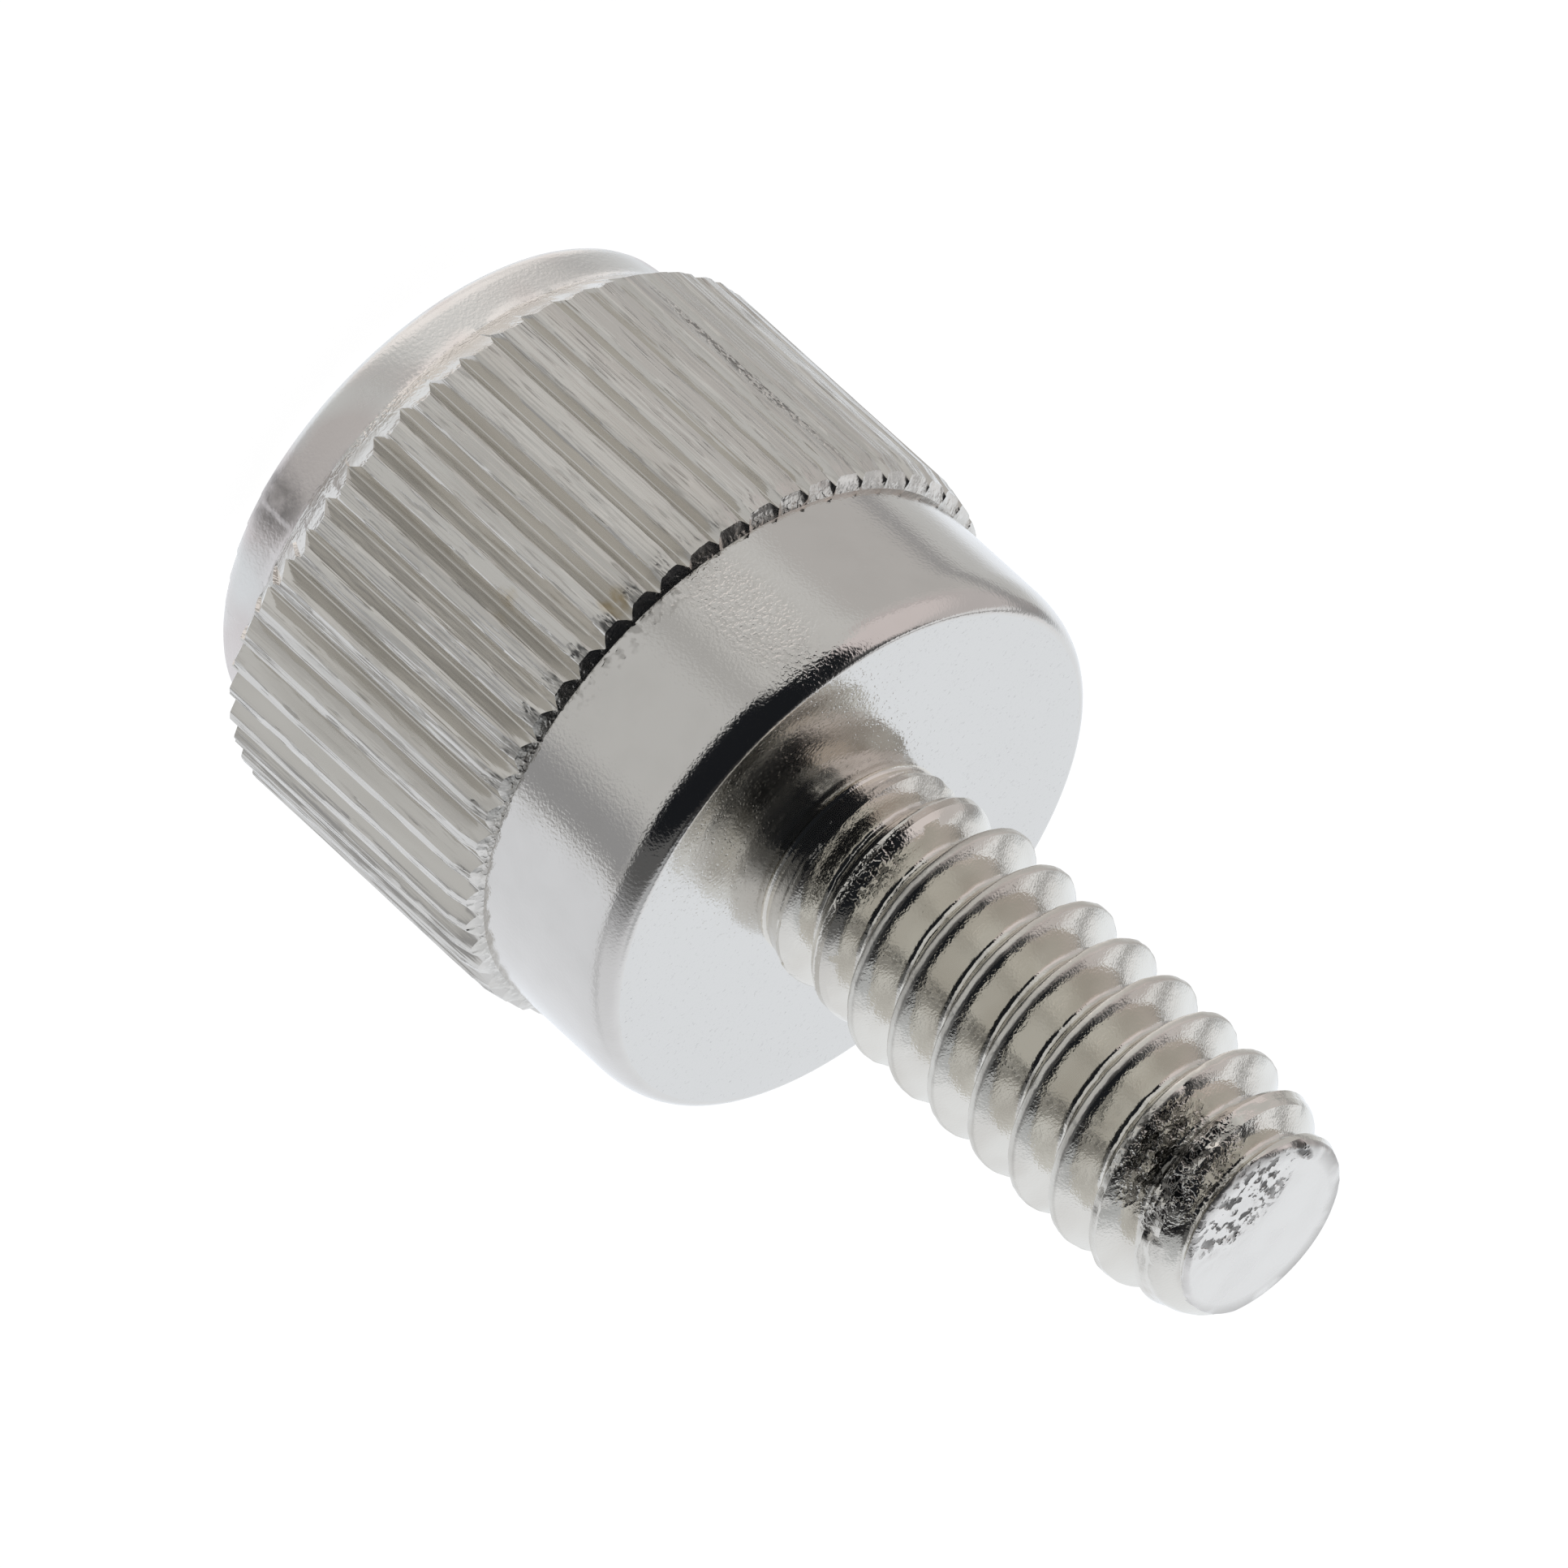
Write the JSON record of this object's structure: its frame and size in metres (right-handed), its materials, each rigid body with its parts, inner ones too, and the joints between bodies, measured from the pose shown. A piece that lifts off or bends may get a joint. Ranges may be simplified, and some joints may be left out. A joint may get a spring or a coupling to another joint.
{
  "type": "thumb screw",
  "caption": "Knurled thumb screw turned from one piece: a straight-knurled cylindrical head with a plain collar, and a coarse-threaded shank tightened by hand.",
  "frame": {"origin": "centre of the head's flat end, on which the screw stands", "axes": "+Z along the screw's axis, from the head to the tip of the thread"},
  "size_m": [0.0088, 0.0088, 0.0163],
  "materials": {
    "plated_steel": "bright nickel plating over turned, knurled and rolled steel"
  },
  "bodies": {
    "root": {"thumb_screw": "plated_steel"}
  },
  "joints": []
}
